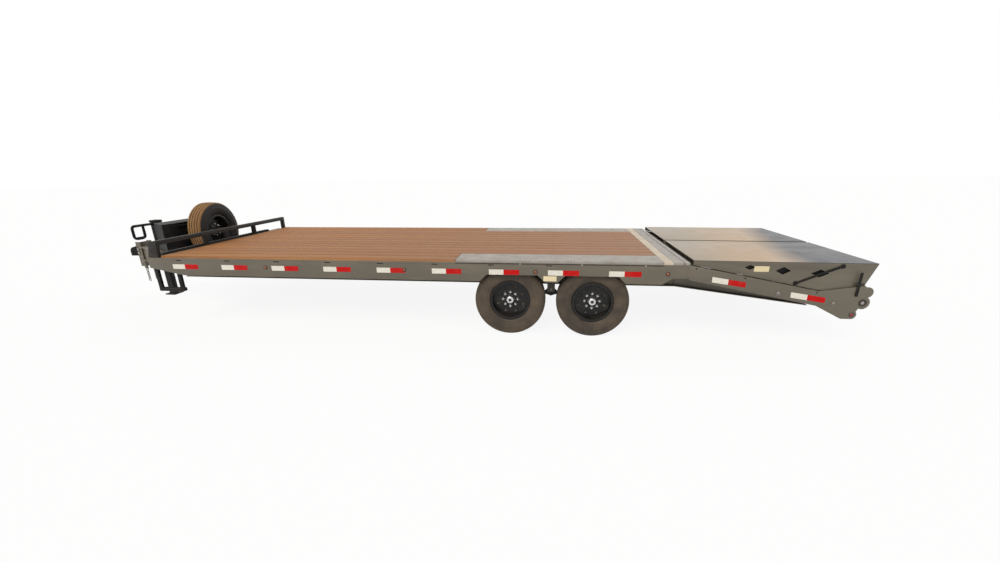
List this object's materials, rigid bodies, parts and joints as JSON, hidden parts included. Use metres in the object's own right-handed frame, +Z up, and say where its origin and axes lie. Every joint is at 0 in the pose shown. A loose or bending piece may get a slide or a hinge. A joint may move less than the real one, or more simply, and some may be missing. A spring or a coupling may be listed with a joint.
{
  "type": "deckover trailer",
  "caption": "Tandem axle deckover flatbed trailer with wooden deck, sloping dovetail, full-width fold-over ramps, tongue toolbox, upright spare wheel and drop-leg jack.",
  "frame": {"origin": "on the ground, under the middle of the trailer's box", "axes": "+X forward along the trailer to the coupler, +Y to its left, +Z up"},
  "size_m": [9.4979, 2.615, 1.3645],
  "materials": {
    "frame_paint": "metallic grey paint, satin",
    "black_paint": "black paint, satin",
    "wood": "treated pine, weathered",
    "tread_steel": "raised tread pattern",
    "cap_steel": "pale primer, satin",
    "ramp_skin": "glossy grey paint, scratched",
    "rubber": "road tyre, dusty",
    "rim_paint": "gloss black",
    "hub_steel": "bright cap",
    "bare_steel": "zinc plated",
    "spring_steel": "black, dusty",
    "amber_lens": "amber lens",
    "red_lens": "red lens"
  },
  "bodies": {
    "chassis": {"main_beams": "frame_paint", "side_rail_left": "frame_paint", "side_rail_right": "frame_paint", "crossmembers": "frame_paint", "front_header": "frame_paint", "dovetail_side_left": "frame_paint", "dovetail_side_right": "frame_paint", "dovetail_beams": "frame_paint", "dovetail_crossmembers": "frame_paint", "rear_light_bar": "frame_paint", "tongue_beams": "frame_paint", "jack_plates": "frame_paint", "tongue_head": "frame_paint", "spare_bracket": "frame_paint", "spring_hangers": "frame_paint", "jack_tube": "black_paint", "jack_crank": "black_paint", "jack_leg": "black_paint", "toolbox": "black_paint", "side_step": "black_paint", "coupler": "black_paint", "ramp_latches": "black_paint", "front_rail": "black_paint", "deck_boards": "wood", "tread_plates": "tread_steel", "deck_end_strips": "tread_steel", "deck_end_cap": "cap_steel", "spare_tyre": "rubber", "spare_rim": "rim_paint", "hinge_shaft": "bare_steel", "coupler_lever": "bare_steel", "safety_chains": "bare_steel", "axles": "spring_steel", "leaf_springs": "spring_steel", "equalisers": "spring_steel", "spring_clamps": "spring_steel", "marker_lamps": "amber_lens", "tail_lamps": "red_lens"},
    "toolbox_lid": {"toolbox_lid": "black_paint"},
    "ramp_left": {"ramp_frame_left": "frame_paint", "ramp_skin_left": "ramp_skin", "ramp_prop_left": "black_paint"},
    "ramp_right": {"ramp_frame_right": "frame_paint", "ramp_skin_right": "ramp_skin", "ramp_prop_right": "black_paint"},
    "wheel_fl": {"tyre_fl": "rubber", "rim_fl": "rim_paint", "hub_fl": "hub_steel"},
    "wheel_fr": {"tyre_fr": "rubber", "rim_fr": "rim_paint", "hub_fr": "hub_steel"},
    "wheel_rl": {"tyre_rl": "rubber", "rim_rl": "rim_paint", "hub_rl": "hub_steel"},
    "wheel_rr": {"tyre_rr": "rubber", "rim_rr": "rim_paint", "hub_rr": "hub_steel"}
  },
  "joints": [
    {"name": "wheel_fl_spin", "type": "hinge", "parent": "chassis", "child": "wheel_fl", "pos_m": [-1.167, 1.1205, 0.3935], "axis": [0, 1, 0], "continuous": true},
    {"name": "wheel_fr_spin", "type": "hinge", "parent": "chassis", "child": "wheel_fr", "pos_m": [-1.167, -1.1205, 0.3935], "axis": [0, 1, 0], "continuous": true},
    {"name": "wheel_rl_spin", "type": "hinge", "parent": "chassis", "child": "wheel_rl", "pos_m": [-2.069, 1.1205, 0.3935], "axis": [0, 1, 0], "continuous": true},
    {"name": "wheel_rr_spin", "type": "hinge", "parent": "chassis", "child": "wheel_rr", "pos_m": [-2.069, -1.1205, 0.3935], "axis": [0, 1, 0], "continuous": true},
    {"name": "ramp_left_fold", "type": "hinge", "parent": "chassis", "child": "ramp_left", "pos_m": [-4.675, 0.65, 0.485], "axis": [0, -1, 0], "range_deg": [0, 182.8]},
    {"name": "ramp_right_fold", "type": "hinge", "parent": "chassis", "child": "ramp_right", "pos_m": [-4.675, -0.65, 0.485], "axis": [0, -1, 0], "range_deg": [0, 182.8]},
    {"name": "toolbox_lid_hinge", "type": "hinge", "parent": "chassis", "child": "toolbox_lid", "pos_m": [3.575, 0, 1.08625], "axis": [0, -1, 0], "range_deg": [0, 85]}
  ]
}
